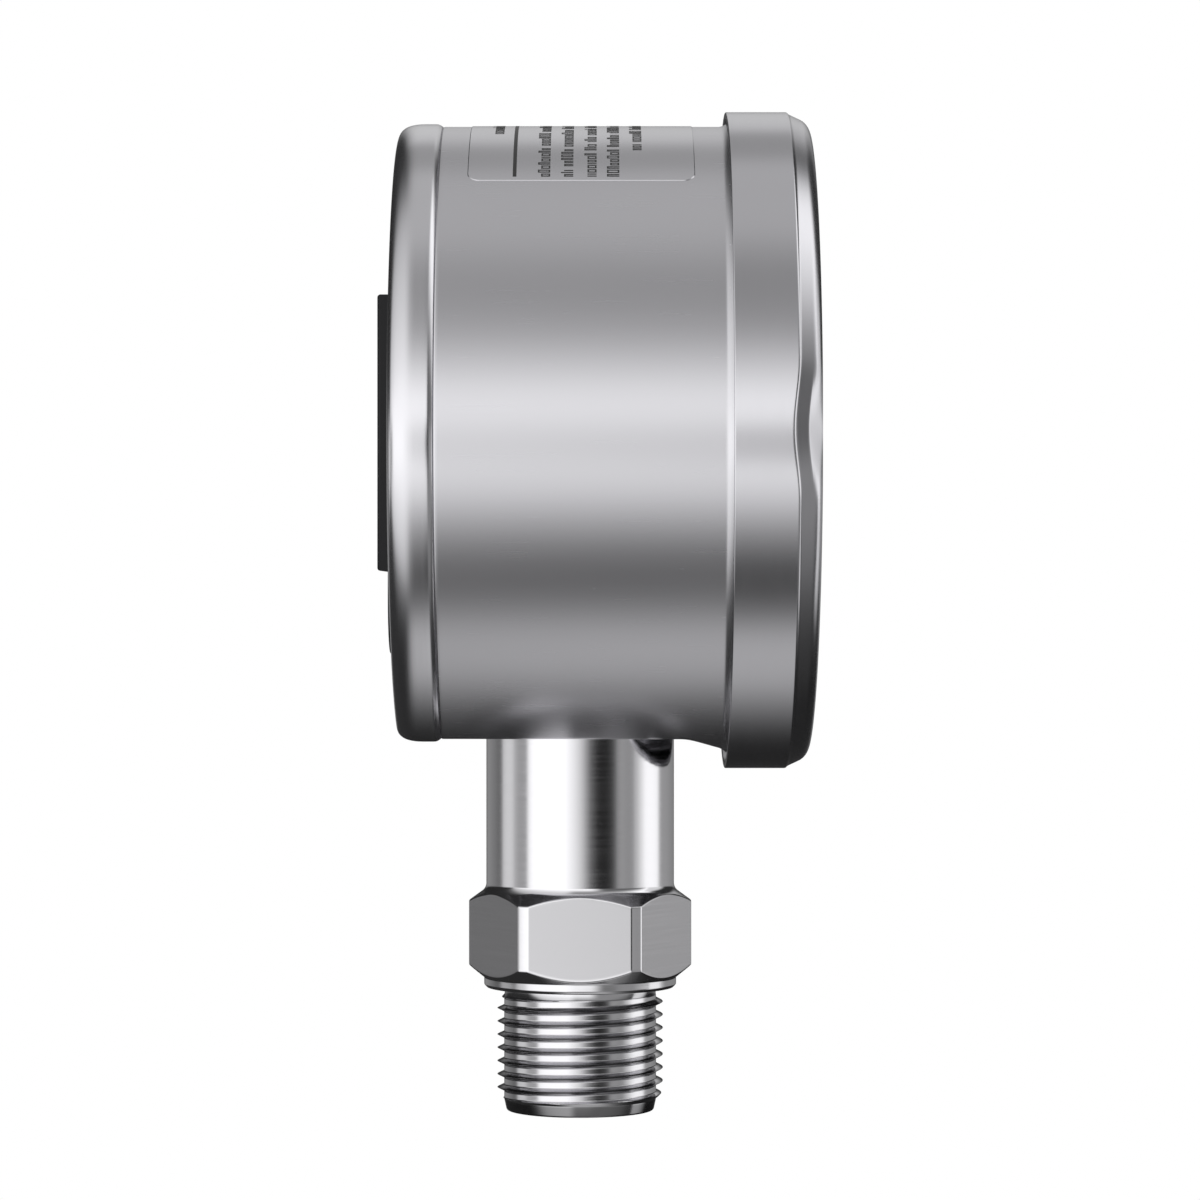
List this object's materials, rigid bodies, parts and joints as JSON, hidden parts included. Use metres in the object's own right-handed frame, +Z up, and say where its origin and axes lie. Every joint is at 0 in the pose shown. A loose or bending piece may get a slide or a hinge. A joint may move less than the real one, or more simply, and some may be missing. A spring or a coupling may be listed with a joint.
{
  "type": "digital pressure gauge",
  "caption": "Round stainless digital pressure gauge with bayonet ring, rear battery door, hexagon stem and straight pipe thread below.",
  "frame": {"origin": "centre of the pressure inlet's mouth in the end face of the process connection", "axes": "+Z up the stem to the head, -Y out of the display, +Y out of the battery door"},
  "size_m": [0.0826, 0.053, 0.1258],
  "materials": {
    "steel_case": "brushed stainless steel",
    "steel_turned": "turned and milled stainless steel",
    "steel_small": "bright zinc-plated steel",
    "spring_steel": "nickel-plated spring steel",
    "black_plastic": "fine-textured black ABS",
    "panel_plastic": "satin dark grey plastic",
    "key_rubber": "soft grey silicone",
    "seal_rubber": "black nitrile rubber",
    "clear_lens": "clear hard-coated acrylic",
    "lcd": "grey-green reflective display cell",
    "white_plastic": "white moulded plastic",
    "strip_rubber": "striped contact rubber",
    "board": "green solder resist on glass fibre",
    "chip": "black moulded chip package",
    "capacitor_sleeve": "shrink sleeve",
    "flex_film": "amber polyimide film",
    "lead_sleeve": "red wire insulation",
    "cell_sleeve": "plain printed battery sleeve",
    "label_film": "silver polyester film"
  },
  "bodies": {
    "housing": {"backlight_plate": "white_plastic", "battery_leads": "lead_sleeve", "battery_lower": "cell_sleeve", "battery_socket": "white_plastic", "battery_tray": "black_plastic", "battery_upper": "cell_sleeve", "board_screws": "steel_small", "buffer_capacitors": "capacitor_sleeve", "case_body": "steel_case", "contact_plates": "spring_steel", "contact_springs": "spring_steel", "display_lens": "clear_lens", "door_pin": "steel_small", "flex_socket": "white_plastic", "front_gasket": "seal_rubber", "front_panel": "panel_plastic", "lcd_connectors": "strip_rubber", "lcd_frame": "white_plastic", "lcd_glass": "lcd", "main_board": "board", "microcontroller": "chip", "pressure_sensor": "steel_small", "process_connection": "steel_turned", "quartz_crystal": "steel_small", "rating_label": "label_film", "rear_cover": "steel_case", "sensor_flex": "flex_film", "sensor_lock_ring": "steel_small", "sensor_o_ring": "seal_rubber", "signal_chip": "chip", "stem_gasket": "seal_rubber", "stem_nut": "steel_small", "stem_washer": "steel_small", "tact_switches": "chip"},
    "bezel_ring": {"bezel_ring": "steel_case"},
    "battery_door": {"battery_door": "black_plastic"},
    "key_left": {"key_left": "key_rubber", "switch_plunger_left": "chip"},
    "key_middle": {"key_middle": "key_rubber", "switch_plunger_middle": "chip"},
    "key_right": {"key_right": "key_rubber", "switch_plunger_right": "chip"}
  },
  "joints": [
    {"name": "bezel_ring_turn", "type": "hinge", "parent": "housing", "child": "bezel_ring", "pos_m": [0, -0.023, 0.0845], "axis": [0, -1, 0], "range_deg": [0, 25]},
    {"name": "battery_door_hinge", "type": "hinge", "parent": "housing", "child": "battery_door", "pos_m": [0, 0.0234, 0.09815], "axis": [1, 0, 0], "range_deg": [0, 90]},
    {"name": "key_left_press", "type": "slide", "parent": "housing", "child": "key_left", "axis": [0, 1, 0], "range_m": [0, 0.0005], "stiffness_N_per_m": 1500},
    {"name": "key_middle_press", "type": "slide", "parent": "housing", "child": "key_middle", "axis": [0, 1, 0], "range_m": [0, 0.0005], "stiffness_N_per_m": 1500},
    {"name": "key_right_press", "type": "slide", "parent": "housing", "child": "key_right", "axis": [0, 1, 0], "range_m": [0, 0.0005], "stiffness_N_per_m": 1500}
  ]
}
